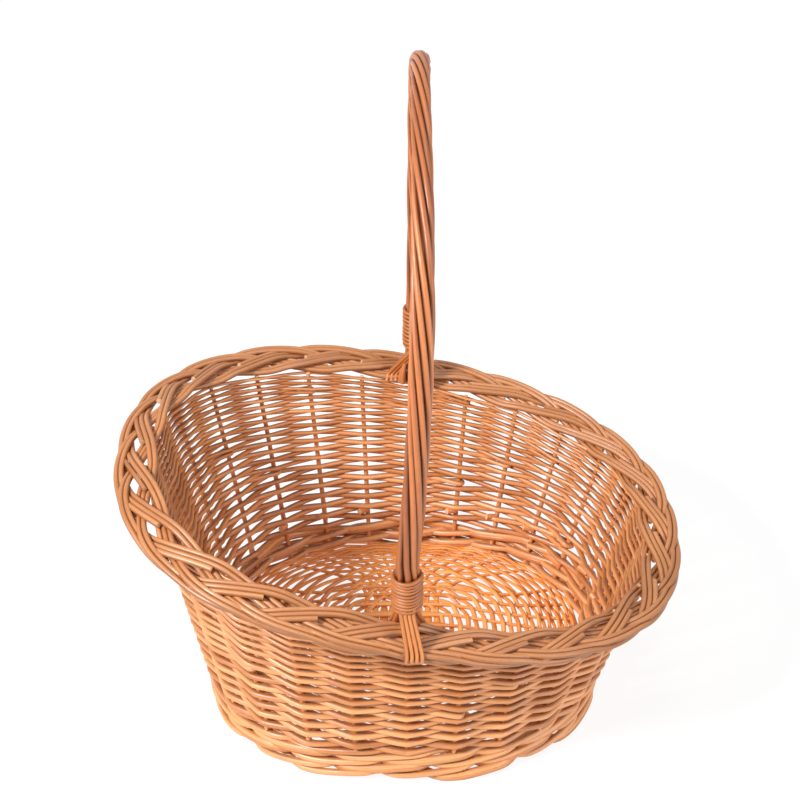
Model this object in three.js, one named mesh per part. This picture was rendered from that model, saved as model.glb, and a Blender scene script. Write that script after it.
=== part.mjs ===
// Oval willow gift basket with a slanted plaited rim and a fixed roped bow handle.
// Millimetres, +Z up. The origin is on the ground under the middle of the mouth.
// X runs along the basket from its tall end (-X) to its low end (+X), Y runs along the handle.

import * as THREE from "three";

// Base, measured over the outside of the foot
const BASE_LENGTH = 318;
const BASE_WIDTH = 296;
const BASE_SQUARENESS = 2.4;

// Mouth, measured between the middles of the plait
const MOUTH_LENGTH = 420;
const MOUTH_WIDTH = 358;
const MOUTH_SQUARENESS = 2.3;
const RIM_HEIGHT = 177;
const RIM_FALL = 84;
const RIM_END_DIP = 4;

// Side stakes, with the handle's bow standing in the front and the back place
const STAKE_PLACES = 26;
const STAKE_DIAMETER = 5;
const STAKE_FOOT = 3;

// Side weave, in bands that pass in front of one stake and behind the next
const BAND_COUNT = 10;
const BAND_THICKNESS = 3.6;
const BAND_GAP = 0.6;
const BAND_OPENING = 3.2;

// Foot wale, one ring outside the stakes and one inside
const FOOT_HEIGHT = 38;
const WALE_THICKNESS = 4.5;

// Floor, crowned in the middle: a cross of sticks whose ends fan out, with rings woven round them
const FLOOR_STICKS_EACH_WAY = 3;
const FLOOR_STICK_DIAMETER = 6;
const FLOOR_STICK_SPACING = 8;
const FLOOR_EDGE_LEVEL = 9.5;
const FLOOR_CROWN = 24;
const FLOOR_RINGS = 4;
const FLOOR_OPENING = 9;
const FLOOR_RING_THICKNESS = 3;
const FLOOR_EYE_LENGTH = 84;
const FLOOR_GAP = 0.4;

// Plaited rim of three strands
const PLAIT_STRAND_WIDTH = 10;
const PLAIT_STRAND_THICKNESS = 6.4;
const PLAIT_PERIODS = 10;
const PLAIT_TILT_DEGREES = 11;

// Handle, rods laid round a bow
const HANDLE_TOP = 553;
const HANDLE_LEG_TOP = 252;
const HANDLE_FRONT_SHIFT = 4.2;
const HANDLE_BACK_SHIFT = 12.8;
const HANDLE_APEX_SHIFT = 13.5;
const HANDLE_LEAN = 0.8;
const HANDLE_SHOULDER = 160;
const HANDLE_CROWN = 124;
const BOW_DIAMETER = 8.4;
const BOW_TIP_DIAMETER = 5;
const HANDLE_ROD_COUNT = 8;
const HANDLE_ROD = 5;
const HANDLE_TURNS = 2.6;

// Bindings at the feet of the handle
const BINDING_ROD = 2.6;
const BINDING_LOOPS = 10;
const BINDING_PITCH = 3.3;
const BINDING_RISE = 20;

// Free space kept between pieces that lie on each other
const CLEARANCE = 0.4;

// How finely the pieces are divided
const STEPS_PER_STAKE = 2;
const STEPS_PER_PLAIT_PERIOD = 9;
const STEPS_PER_FLOOR_SPOKE = 4;
const STEPS_PER_LOOP = 16;
const HANDLE_STEPS = 36;
const ROD_SIDES = 5;
const STRAND_SIDES = 6;
const OUTLINE_SAMPLES = 1440;

// Sizes that follow from the ones above
const stakeRadius = STAKE_DIAMETER / 2;
const plaitSwing = PLAIT_STRAND_WIDTH;
const plaitLift = PLAIT_STRAND_THICKNESS + 2 * CLEARANCE;
const plaitHalfThickness = plaitLift + PLAIT_STRAND_THICKNESS / 2;
const plaitTilt = THREE.MathUtils.degToRad(PLAIT_TILT_DEGREES);
const footHalf = stakeRadius + CLEARANCE + WALE_THICKNESS;
const handleRodRing = BOW_DIAMETER / 2 + CLEARANCE + HANDLE_ROD / 2;
const bundleRadius = handleRodRing + HANDLE_ROD / 2;
const bindingRing = bundleRadius + CLEARANCE + BINDING_ROD / 2;
const floorSpokes = FLOOR_STICKS_EACH_WAY * 4;

const UP = new THREE.Vector3(0, 0, 1);
const RIGHT = new THREE.Vector3(1, 0, 0);

// Power that keeps its sign, for rounded-oblong outlines.
function signedPower(value, power) {
  return Math.sign(value) * Math.abs(value) ** power;
}

// Point on a rounded oblong: x and y are a cosine and a sine raised to 2 / squareness.
function oblong(length, width, squareness, angle) {
  const x = (length / 2) * signedPower(Math.cos(angle), 2 / squareness);
  const y = (width / 2) * signedPower(Math.sin(angle), 2 / squareness);
  return new THREE.Vector3(x, y, 0);
}

// Angle at each even step of length round the mouth, starting at the front middle.
function evenAngles() {
  const angles = [];
  const lengths = [];
  let length = 0;
  let previous = null;
  for (let i = 0; i <= OUTLINE_SAMPLES; i += 1) {
    const angle = -Math.PI / 2 + (2 * Math.PI * i) / OUTLINE_SAMPLES;
    const point = oblong(MOUTH_LENGTH, MOUTH_WIDTH, MOUTH_SQUARENESS, angle);
    length += previous ? point.distanceTo(previous) : 0;
    angles.push(angle);
    lengths.push(length);
    previous = point;
  }
  return { angles, lengths, total: length };
}

const mouthRun = evenAngles();

// Angle at a share of the way round, even on both sides of the handle: 0 at its front leg,
// 0.25 near the low end, 0.5 at its back leg.
function angleAt(share) {
  const turn = share - Math.floor(share);
  const front = HANDLE_FRONT_SHIFT;
  const back = mouthRun.total / 2 - HANDLE_BACK_SHIFT;
  const lowSide = THREE.MathUtils.lerp(front, back, 2 * turn);
  const tallSide = THREE.MathUtils.lerp(back, front + mouthRun.total, 2 * turn - 1);
  const wanted = (turn < 0.5 ? lowSide : tallSide) % mouthRun.total;
  const above = mouthRun.lengths.findIndex((length) => length > wanted);
  const low = mouthRun.lengths[above - 1];
  const part = (wanted - low) / (mouthRun.lengths[above] - low);
  return THREE.MathUtils.lerp(mouthRun.angles[above - 1], mouthRun.angles[above], part);
}

// Height of the middle of the plait: a straight fall along X and a slight dip at both ends.
function rimHeight(x) {
  const end = x / (MOUTH_LENGTH / 2);
  return RIM_HEIGHT - (RIM_FALL / 2) * end - RIM_END_DIP * end * end;
}

// Swing of a band from the middle of the wall, so that it clears the stake it passes.
const narrowHalfSpacing =
  (Math.PI * (Math.min(BASE_LENGTH, BASE_WIDTH) / 2 - 2 * footHalf)) / STAKE_PLACES;
const bandSwing =
  (stakeRadius + BAND_THICKNESS / 2 + CLEARANCE) / (1 - stakeRadius / narrowHalfSpacing);

// The plait hangs outside the wall, so that the bow's legs pass inside its strands.
const strandSlope = (plaitSwing * Math.sin(Math.PI / 3) * 2 * Math.PI * PLAIT_PERIODS) / mouthRun.total;
const legRoom = PLAIT_STRAND_WIDTH / 2 + (BOW_TIP_DIAMETER / 2) * (1 + strandSlope) + CLEARANCE;
const plaitOverhang = plaitSwing / 2 + legRoom;
const wallTopDrop = plaitHalfThickness + CLEARANCE;

// Middle of the wall, straight from the base (rise 0) to just under the plait (rise 1).
function wallMiddle(share, rise) {
  const angle = angleAt(share);
  const base = oblong(BASE_LENGTH - 2 * footHalf, BASE_WIDTH - 2 * footHalf, BASE_SQUARENESS, angle);
  const topLength = MOUTH_LENGTH - 2 * plaitOverhang;
  const topWidth = MOUTH_WIDTH - 2 * plaitOverhang;
  const top = oblong(topLength, topWidth, MOUTH_SQUARENESS, angle);
  top.z = rimHeight(top.x) - wallTopDrop;
  return base.lerp(top, rise);
}

// Direction along the wall at a place, going round anticlockwise.
function wallAlong(share, rise) {
  const step = 1 / OUTLINE_SAMPLES;
  const ahead = wallMiddle(share + step, rise);
  return ahead.sub(wallMiddle(share - step, rise)).normalize();
}

// Direction square to the wall, pointing out of the basket.
function wallOut(share, rise) {
  const upward = wallMiddle(share, 1).sub(wallMiddle(share, 0));
  return wallAlong(share, rise).cross(upward).normalize();
}

// Direction square to the wall and level with the ground.
function wallOutLevel(share, rise) {
  return wallAlong(share, rise).cross(UP).normalize();
}

// Turns a skin the right way out by the sign of the volume that it holds.
function faceOut(geometry) {
  const position = geometry.getAttribute("position");
  const index = geometry.getIndex().array;
  const corner = (k) => new THREE.Vector3().fromBufferAttribute(position, index[k]);
  let volume = 0;
  for (let k = 0; k < index.length; k += 3) {
    volume += corner(k).dot(corner(k + 1).cross(corner(k + 2)));
  }
  if (volume < 0) {
    index.reverse();
  }
  return geometry;
}

// Joins rings of points into one closed skin. An open run of rings is capped at both ends.
function skin(rings, closed) {
  const sides = rings[0].length;
  const index = [];
  const spans = closed ? rings.length : rings.length - 1;
  for (let i = 0; i < spans; i += 1) {
    const here = i * sides;
    const next = ((i + 1) % rings.length) * sides;
    for (let j = 0; j < sides; j += 1) {
      const k = (j + 1) % sides;
      index.push(here + j, here + k, next + k, here + j, next + k, next + j);
    }
  }
  const lastRing = (rings.length - 1) * sides;
  for (let j = 1; !closed && j < sides - 1; j += 1) {
    index.push(0, j + 1, j, lastRing, lastRing + j, lastRing + j + 1);
  }
  const geometry = new THREE.BufferGeometry();
  geometry.setFromPoints(rings.flat());
  geometry.setIndex(index);
  return faceOut(geometry);
}

// Ring of points round a centre, in the plane of two directions with a half size along each.
function ovalSection(centre, across, halfAcross, over, halfOver, sides) {
  const ring = [];
  for (let j = 0; j < sides; j += 1) {
    const angle = (2 * Math.PI * (j + 0.5)) / sides;
    const point = centre.clone();
    point.addScaledVector(across, halfAcross * Math.cos(angle));
    point.addScaledVector(over, halfOver * Math.sin(angle));
    ring.push(point);
  }
  return ring;
}

// The same with one radius.
function roundSection(centre, across, over, radius, sides) {
  return ovalSection(centre, across, radius, over, radius, sides);
}

// Round rod through a short list of points, square to the run at each of them.
function rod(points, radius, sides) {
  const rings = points.map((point, i) => {
    const before = points[Math.max(i - 1, 0)];
    const after = points[Math.min(i + 1, points.length - 1)];
    const along = after.clone().sub(before).normalize();
    const guide = Math.abs(along.z) > 0.7 ? RIGHT : UP;
    const across = guide.clone().cross(along).normalize();
    const over = along.clone().cross(across);
    return roundSection(point, across, over, radius, sides);
  });
  return skin(rings, false);
}

const willow = (colour, roughness) =>
  new THREE.MeshStandardMaterial({ color: colour, roughness, metalness: 0 });
const stakeFinish = willow(0xb9783f, 0.6);
const weaveFinish = willow(0xcf935c, 0.55);
const floorFinish = willow(0xc07f45, 0.6);
const plaitFinish = willow(0xc98a54, 0.5);
const handleFinish = willow(0xd09a66, 0.45);
const bindingFinish = willow(0xc9905b, 0.5);

const basket = new THREE.Group();

function addPiece(name, geometry, material) {
  const mesh = new THREE.Mesh(geometry, material);
  mesh.name = name;
  basket.add(mesh);
}

const twoDigits = (number) => String(number).padStart(2, "0");

// Point beside the wall's middle, moved out along the wall's own square direction.
function besideWall(share, rise, outward) {
  return wallMiddle(share, rise).addScaledVector(wallOut(share, rise), outward);
}

// Length of the wall from base to plait at a place, measured up the slope.
function slopeLength(share) {
  return wallMiddle(share, 1).distanceTo(wallMiddle(share, 0));
}

// Share of the wall's slope at which the foot wale ends, the same all the way round.
const footRise = FOOT_HEIGHT / (RIM_HEIGHT - wallTopDrop);

// Stakes stand in every place apart from the two that the bow's legs take.
function addStakes() {
  let number = 0;
  for (let place = 0; place < STAKE_PLACES; place += 1) {
    if (place % (STAKE_PLACES / 2) !== 0) {
      number += 1;
      const share = place / STAKE_PLACES;
      const foot = wallMiddle(share, STAKE_FOOT / (RIM_HEIGHT - wallTopDrop));
      const top = wallMiddle(share, 1 - CLEARANCE / slopeLength(share));
      addPiece(`side_stake_${twoDigits(number)}`, rod([foot, top], stakeRadius, STRAND_SIDES), stakeFinish);
    }
  }
}

// Each band is a flat hoop that swings out at one stake and in at the next, turn about by row.
// It is lower at the stakes, which leaves a row of pointed openings between two bands.
function sideBand(row) {
  const steps = STAKE_PLACES * STEPS_PER_STAKE;
  const riseStep = (1 - footRise) / BAND_COUNT;
  const rings = [];
  for (let i = 0; i < steps; i += 1) {
    const share = i / steps;
    const swing = bandSwing * Math.cos(Math.PI * (i / STEPS_PER_STAKE + row));
    const atStake = Math.cos((Math.PI * i) / STEPS_PER_STAKE) ** 2;
    const gapRise = THREE.MathUtils.lerp(BAND_GAP, BAND_OPENING, atStake) / 2 / slopeLength(share);
    const low = footRise + riseStep * row + gapRise;
    const high = footRise + riseStep * (row + 1) - gapRise;
    const half = BAND_THICKNESS / 2;
    rings.push([
      besideWall(share, low, swing - half),
      besideWall(share, low, swing + half),
      besideWall(share, high, swing + half),
      besideWall(share, high, swing - half),
    ]);
  }
  return skin(rings, true);
}

// Ring of the foot wale between two distances from the wall's middle, flat on the ground.
function footRing(near, far) {
  const steps = STAKE_PLACES * STEPS_PER_STAKE;
  const rings = [];
  for (let i = 0; i < steps; i += 1) {
    const share = i / steps;
    const ground = wallMiddle(share, 0);
    const level = wallOutLevel(share, 0);
    const top = footRise - BAND_GAP / 2 / slopeLength(share);
    rings.push([
      ground.clone().addScaledVector(level, near),
      ground.clone().addScaledVector(level, far),
      besideWall(share, top, far),
      besideWall(share, top, near),
    ]);
  }
  return skin(rings, true);
}

// Height of the crowned floor at a share of the way from its middle to its edge.
function floorHeight(reach) {
  return FLOOR_EDGE_LEVEL + FLOOR_CROWN * (1 - reach * reach);
}

// Point of the floor at a share of the way to the inner ring of the foot, lifted by a height.
function floorPoint(turn, reach, lift) {
  const edge = wallMiddle(turn, 0);
  edge.addScaledVector(wallOutLevel(turn, 0), -footHalf - FLOOR_GAP);
  return new THREE.Vector3(edge.x * reach, edge.y * reach, floorHeight(reach) + lift);
}

const floorInset = 2 * (2 * footHalf + FLOOR_GAP);
const floorEye = FLOOR_EYE_LENGTH / (BASE_LENGTH - floorInset);
const floorReachStep = (1 - floorEye) / FLOOR_RINGS;

// Floor stick: straight and doubled up in the middle, its two ends bent out to their spokes.
function floorStick(order, lengthways) {
  const side = order - (FLOOR_STICKS_EACH_WAY - 1) / 2;
  const layer = (FLOOR_STICK_DIAMETER + CLEARANCE) / 2;
  const hubHalf = (FLOOR_STICKS_EACH_WAY * FLOOR_STICK_SPACING) / 2;
  const height = floorHeight(0) + (lengthways ? -layer : layer);
  const aside = side * FLOOR_STICK_SPACING;
  const start = lengthways ? 0.75 : 0;
  const finish = lengthways ? 0.25 : 0.5;
  const fan = side / floorSpokes;
  const hub = (along) =>
    lengthways ? new THREE.Vector3(along, aside, height) : new THREE.Vector3(aside, along, height);
  const spoke = (turn) => {
    const points = [];
    for (let k = 0; k <= FLOOR_RINGS; k += 1) {
      points.push(floorPoint(turn, floorEye + floorReachStep * k, 0));
    }
    return points;
  };
  const first = spoke(start + (lengthways ? -fan : fan)).reverse();
  const last = spoke(finish + (lengthways ? fan : -fan));
  const points = [...first, hub(-hubHalf), hub(hubHalf), ...last];
  return rod(points, FLOOR_STICK_DIAMETER / 2, STRAND_SIDES);
}

// Ring woven over one spoke and under the next, turn about by ring. It is narrower between the
// spokes, which leaves openings, apart from its edge along the foot.
function floorRing(order) {
  const steps = floorSpokes * STEPS_PER_FLOOR_SPOKE;
  const inner = floorEye + floorReachStep * order;
  const innerWidth = Math.min(BASE_LENGTH, BASE_WIDTH) - floorInset;
  const half = FLOOR_RING_THICKNESS / 2;
  const swingMost = FLOOR_STICK_DIAMETER / 2 + half + 2 * CLEARANCE;
  const rings = [];
  for (let i = 0; i < steps; i += 1) {
    const turn = i / steps;
    const swing = swingMost * Math.cos(Math.PI * (i / STEPS_PER_FLOOR_SPOKE + order));
    const between = Math.sin((Math.PI * i) / STEPS_PER_FLOOR_SPOKE) ** 2;
    const openGap = THREE.MathUtils.lerp(BAND_GAP, FLOOR_OPENING, between) / innerWidth;
    const farGap = order < FLOOR_RINGS - 1 ? openGap : BAND_GAP / innerWidth;
    const near = inner + openGap;
    const far = inner + floorReachStep - farGap;
    rings.push([
      floorPoint(turn, near, swing - half),
      floorPoint(turn, far, swing - half),
      floorPoint(turn, far, swing + half),
      floorPoint(turn, near, swing + half),
    ]);
  }
  return skin(rings, true);
}

// Middle of the plait, with the directions across it and over it.
function plaitFrame(share) {
  const angle = angleAt(share);
  const centre = oblong(MOUTH_LENGTH, MOUTH_WIDTH, MOUTH_SQUARENESS, angle);
  centre.z = rimHeight(centre.x);
  const level = wallOutLevel(share, 1);
  const across = level.clone().multiplyScalar(Math.cos(plaitTilt)).addScaledVector(UP, -Math.sin(plaitTilt));
  const over = UP.clone().multiplyScalar(Math.cos(plaitTilt)).addScaledVector(level, Math.sin(plaitTilt));
  return { centre, across, over };
}

// One strand of the plait: a full swing across for every two lifts, a third of a turn apart.
// Going anticlockwise it lies on top on its way in to the inner edge and out to the outer one.
function plaitStrand(order) {
  const steps = PLAIT_PERIODS * STEPS_PER_PLAIT_PERIOD;
  const rings = [];
  for (let i = 0; i < steps; i += 1) {
    const phase = 2 * Math.PI * (i / STEPS_PER_PLAIT_PERIOD + order / 3);
    const { centre, across, over } = plaitFrame(i / steps);
    centre.addScaledVector(across, plaitSwing * Math.cos(phase));
    centre.addScaledVector(over, -plaitLift * Math.sin(2 * phase));
    const halfWidth = PLAIT_STRAND_WIDTH / 2;
    const halfThickness = PLAIT_STRAND_THICKNESS / 2;
    rings.push(ovalSection(centre, across, halfWidth, over, halfThickness, STRAND_SIDES));
  }
  return skin(rings, true);
}

// Line of the handle: up the wall in the front place, over the arch and down the back place.
function handleLine() {
  const apex = new THREE.Vector3(HANDLE_APEX_SHIFT, 0, HANDLE_TOP - bundleRadius);
  const leg = (share) => {
    const foot = wallMiddle(share, STAKE_FOOT / (RIM_HEIGHT - wallTopDrop));
    const direction = wallMiddle(share, 1).sub(foot).normalize();
    const top = foot.clone().addScaledVector(direction, (HANDLE_LEG_TOP - foot.z) / direction.z);
    const shoulder = top.clone().addScaledVector(direction, HANDLE_SHOULDER);
    shoulder.x = THREE.MathUtils.lerp(top.x, apex.x, HANDLE_LEAN);
    return { foot, top, shoulder };
  };
  const front = leg(0);
  const back = leg(0.5);
  const crown = new THREE.Vector3(0, HANDLE_CROWN, 0);
  const line = new THREE.CurvePath();
  line.add(new THREE.LineCurve3(front.foot, front.top));
  line.add(new THREE.CubicBezierCurve3(front.top, front.shoulder, apex.clone().sub(crown), apex));
  line.add(new THREE.CubicBezierCurve3(apex, apex.clone().add(crown), back.shoulder, back.top));
  line.add(new THREE.LineCurve3(back.top, back.foot));
  return line;
}

const handle = handleLine();
const handleLength = handle.getLength();
const legSlope = wallMiddle(0, 1).sub(wallMiddle(0, 0)).normalize().z;

// Distance along the handle from its front foot to a height on the straight front leg.
const alongLeg = (height) => (height - STAKE_FOOT) / legSlope;

// Place on the handle with directions across the handle's plane and within it.
function handleFrame(distance) {
  const share = THREE.MathUtils.clamp(distance / handleLength, 0, 1);
  const centre = handle.getPoint(share);
  const ahead = handle.getPoint(Math.min(share + 1 / OUTLINE_SAMPLES, 1));
  const behind = handle.getPoint(Math.max(share - 1 / OUTLINE_SAMPLES, 0));
  const along = ahead.sub(behind).normalize();
  const within = along.clone().cross(RIGHT).normalize();
  const across = within.clone().cross(along);
  return { centre, along, across, within };
}

// Bottom ends of the handle's rods stand on the plait, the bindings a little above them.
const plaitTop = RIM_HEIGHT + plaitSwing * Math.sin(plaitTilt) + plaitHalfThickness;
const rodEnd = alongLeg(plaitTop + CLEARANCE);
const bindingStart = alongLeg(plaitTop + BINDING_RISE);

// Even places along the roped part of the handle, shared by the bow and the rods round it.
const handlePlaces = [];
for (let i = 0; i <= HANDLE_STEPS; i += 1) {
  handlePlaces.push(THREE.MathUtils.lerp(rodEnd, handleLength - rodEnd, i / HANDLE_STEPS));
}

// Bow: thick in the handle, and tapered below the bindings to run down the wall as a stake.
function bow() {
  const rings = [0, ...handlePlaces, handleLength].map((distance) => {
    const fromEnd = Math.min(distance, handleLength - distance);
    const diameter = fromEnd < bindingStart ? BOW_TIP_DIAMETER : BOW_DIAMETER;
    const { centre, across, within } = handleFrame(distance);
    return roundSection(centre, across, within, diameter / 2, STRAND_SIDES);
  });
  return skin(rings, false);
}

// Handle rod: one of a ring of rods that turn together round the bow.
function handleRod(order) {
  const rings = handlePlaces.map((distance, i) => {
    const turns = order / HANDLE_ROD_COUNT - (HANDLE_TURNS * i) / HANDLE_STEPS;
    const angle = 2 * Math.PI * turns;
    const { centre, across, within } = handleFrame(distance);
    centre.addScaledVector(across, handleRodRing * Math.cos(angle));
    centre.addScaledVector(within, handleRodRing * Math.sin(angle));
    return roundSection(centre, across, within, HANDLE_ROD / 2, ROD_SIDES);
  });
  return skin(rings, false);
}

// Path of a binding: an even helix round the handle with a short straight run at both ends.
function bindingPath(start) {
  const steps = BINDING_LOOPS * STEPS_PER_LOOP;
  const path = [];
  for (let i = 0; i <= steps; i += 1) {
    const turns = i / STEPS_PER_LOOP;
    const angle = 2 * Math.PI * turns;
    const frame = handleFrame(start + BINDING_PITCH * turns);
    const out = frame.across.clone().multiplyScalar(Math.cos(angle));
    out.addScaledVector(frame.within, Math.sin(angle));
    path.push({ point: frame.centre.addScaledVector(out, bindingRing), out, along: frame.along });
  }
  const extend = (end, beside) => {
    const point = end.point.clone();
    const run = point.clone().sub(beside.point).normalize();
    return { ...end, point: point.addScaledVector(run, BINDING_ROD) };
  };
  path.unshift(extend(path[0], path[1]));
  path.push(extend(path[path.length - 1], path[path.length - 2]));
  return path;
}

// Least free space between one loop of a binding and the next, measured on the path's points.
function leastGap(path) {
  let least = Infinity;
  for (let i = 0; i < path.length; i += 1) {
    for (let j = i + STEPS_PER_LOOP / 2; j < path.length; j += 1) {
      least = Math.min(least, path[i].point.distanceTo(path[j].point));
    }
  }
  return least - BINDING_ROD;
}

function binding(name, start) {
  const path = bindingPath(start);
  console.log(`${name}: least gap between loops ${leastGap(path).toFixed(2)} mm`);
  const rings = path.map(({ point, out, along }) =>
    roundSection(point, out, along, BINDING_ROD / 2, ROD_SIDES));
  addPiece(name, skin(rings, false), bindingFinish);
}

addStakes();
for (let row = 0; row < BAND_COUNT; row += 1) {
  addPiece(`side_weave_${twoDigits(row + 1)}`, sideBand(row), weaveFinish);
}
addPiece("foot_wale_outer", footRing(stakeRadius + CLEARANCE, footHalf), weaveFinish);
addPiece("foot_wale_inner", footRing(-footHalf, -stakeRadius - CLEARANCE), weaveFinish);
for (let order = 0; order < FLOOR_STICKS_EACH_WAY; order += 1) {
  addPiece(`floor_stick_long_${order + 1}`, floorStick(order, true), floorFinish);
  addPiece(`floor_stick_cross_${order + 1}`, floorStick(order, false), floorFinish);
}
for (let order = 0; order < FLOOR_RINGS; order += 1) {
  addPiece(`floor_weave_${order + 1}`, floorRing(order), floorFinish);
}
for (let order = 0; order < 3; order += 1) {
  addPiece(`rim_plait_${order + 1}`, plaitStrand(order), plaitFinish);
}
addPiece("handle_bow", bow(), stakeFinish);
for (let order = 0; order < HANDLE_ROD_COUNT; order += 1) {
  addPiece(`handle_rod_${order + 1}`, handleRod(order), handleFinish);
}
const bindingLength = BINDING_LOOPS * BINDING_PITCH;
binding("handle_binding_front", bindingStart);
binding("handle_binding_back", handleLength - bindingStart - bindingLength);

export default basket;
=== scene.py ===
"""Looks of a willow gift basket: every rod is a round section swept along a computed path, in metres."""
import math

import bpy
import numpy as np
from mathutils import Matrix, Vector


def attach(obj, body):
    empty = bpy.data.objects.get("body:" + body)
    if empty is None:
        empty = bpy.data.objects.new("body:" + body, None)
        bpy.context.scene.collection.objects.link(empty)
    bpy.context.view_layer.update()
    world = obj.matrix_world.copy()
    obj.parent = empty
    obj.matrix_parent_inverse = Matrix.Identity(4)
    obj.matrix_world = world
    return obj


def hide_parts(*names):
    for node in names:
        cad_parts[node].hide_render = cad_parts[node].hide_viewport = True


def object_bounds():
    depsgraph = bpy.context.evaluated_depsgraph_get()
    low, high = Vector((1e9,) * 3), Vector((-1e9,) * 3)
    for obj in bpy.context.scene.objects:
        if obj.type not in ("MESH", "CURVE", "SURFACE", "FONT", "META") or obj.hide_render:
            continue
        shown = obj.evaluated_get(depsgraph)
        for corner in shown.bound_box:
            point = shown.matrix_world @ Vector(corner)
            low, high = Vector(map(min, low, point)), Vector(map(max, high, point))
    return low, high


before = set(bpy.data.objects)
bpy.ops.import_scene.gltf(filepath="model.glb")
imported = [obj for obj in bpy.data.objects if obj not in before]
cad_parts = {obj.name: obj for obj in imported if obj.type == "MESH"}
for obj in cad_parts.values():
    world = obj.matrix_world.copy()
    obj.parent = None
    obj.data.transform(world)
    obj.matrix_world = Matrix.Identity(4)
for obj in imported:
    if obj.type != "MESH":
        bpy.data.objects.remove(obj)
cad_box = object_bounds()

MM = 0.001

# Outline of the basket, the same as in the solids
BASE_LENGTH = 318 * MM
BASE_WIDTH = 296 * MM
BASE_SQUARENESS = 2.4
MOUTH_LENGTH = 420 * MM
MOUTH_WIDTH = 358 * MM
MOUTH_SQUARENESS = 2.3
RIM_HEIGHT = 177 * MM
RIM_FALL = 84 * MM
RIM_END_DIP = 4 * MM
WALL_TOP_DROP = 10.8 * MM
FOOT_HALF = 7.4 * MM
PLAIT_OVERHANG = 14 * MM
OUTLINE_SAMPLES = 2880

# Stakes, with their butts inside the wall and the pegs that show outside it
STAKE_PLACES = 26
STAKE_RADIUS = 2.2 * MM
STAKE_TAPER = 0.8
STAKE_OUT = 0.3 * MM
STAKE_STEPS = 30
STAKE_BUTT_HEIGHT = 36 * MM
STAKE_FOOT_FROM = 0.02
STAKE_FOOT_TO = 0.97
STAKE_FOOT_THICKNESS = 0.85
STAKE_FOOT_STEPS = 6
BUTT_HEIGHT = 43 * MM
BUTT_CLIMB = 1.5 * MM
BUTT_RADIUS = 2.7 * MM
BUTT_RUN = 10 * MM
BUTT_START = 1 * MM
BUTT_END = 7 * MM
PEG_TOP = 38 * MM
PEG_TIP = 29.5 * MM
PEG_TOP_OUT = 1.6 * MM
PEG_TIP_OUT = 3.6 * MM
PEG_RADIUS = 1.9 * MM
PEG_TAPER = np.array([1.0, 1.0, 0.95, 0.7])

# Rows of the side weave
ROWS = 44
ROW_LOW_SHARE = 1.42
ROW_HIGH_SHARE = 0.62
ROW_RADIUS_LOW = 2.5 * MM
ROW_RADIUS_HIGH = 1.35 * MM
ROW_START = 30 * MM
ROW_TOP_TUCK = 1.5 * MM
ROW_FRONT_TUCK = 2.5 * MM
ROW_FRONT_TUCK_Y = -110 * MM
ROW_STAKE_SHARE = 0.9
ROW_KINK = 0.992
ROW_WAVER = 0.25 * MM
ROW_THICKNESS_WAVER = 0.05
ROW_FRONT_MORE = 0.11
ROW_FRONT_FULL_Y = -120 * MM
ROW_FRONT_NONE_Y = -30 * MM
BANDS = 10
STEPS_PER_STAKE = 12

# First row of each short pair, and the stakes that it leaves out on each side of the low end
SHORT_PAIRS = ((3, 2), (8, 5), (13, 9), (18, 4), (22, 10), (27, 3), (32, 6), (36, 8), (40, 5))
PAIR_FADE_BEFORE = 0.6
PAIR_FADE_AFTER = 2.0
PAIR_TURN_STEPS = 9

# Foot wale
WALE_RODS = 3
WALE_ROUNDS = 3
WALE_RADIUS = 2.8 * MM
WALE_SWING = 5.6 * MM
WALE_DRAW = 2.4 * MM
WALE_SQUARENESS = 2.0
WALE_OUTSIDE_BIAS = 0.45
WALE_FLARE = 4.0 * MM
WALE_FLARE_NONE_X = -152 * MM
WALE_FLARE_FULL_X = -128 * MM
WALE_TOP = 33 * MM
WALE_SLANT = 2.4 * MM
WALE_WAVER = 0.05
WALE_WAVES = 9
WALE_STEPS_PER_STAKE = 8

# Floor; a reach is 0 in its middle and 1 at the wall, and the fans are in degrees
FLOOR_EDGE_LEVEL = 9.5 * MM
FLOOR_CROWN = 24 * MM
FLOOR_GAP = 0.4 * MM
FLOOR_STICKS_EACH_WAY = 3
FLOOR_MATES = (-1, 0, 1)
FLOOR_STICK_RADIUS = 1.5 * MM
FLOOR_STICK_MORE = 1.4
FLOOR_STICK_REACH = 0.99
FLOOR_STICK_STEPS = 26
FLOOR_LONG_SPACING = 13.5 * MM
FLOOR_CROSS_SPACING = 7.4 * MM
FLOOR_FAN = (0, 7, 14, 22, 31)
FLOOR_CROSS_FAN = (0, 12, 23, 34, 45)
FLOOR_WIDE_TO = 0.14
FLOOR_FAN_FROM = 0.3
FLOOR_FAN_TO = 1.05
FLOOR_LEVEL_FROM = 0.5
FLOOR_RINGS = 4
FLOOR_ROD_RADIUS = 2.15 * MM
FLOOR_ROD_FLATNESS = 0.5
FLOOR_ROD_LIFT = 1.9 * MM
FLOOR_ROD_SIDES = 8
FLOOR_KINK = 0.95
FLOOR_NARROWING = 0.3
FLOOR_NARROW_FROM = 0.6
FLOOR_NARROW_TO = 0.95
FLOOR_REACH_WAVER = 0.006
FLOOR_WIDTH_WAVER = 0.08
FLOOR_STEPS = 432
FLOOR_REACHES = (0.235, 0.285, 0.333, 0.381, 0.43, 0.48, 0.53, 0.58, 0.628, 0.674, 0.718, 0.758, 0.795,
                 0.828, 0.858, 0.886, 0.912, 0.937, 0.96, 0.982, 1.004, 1.026)

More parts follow.
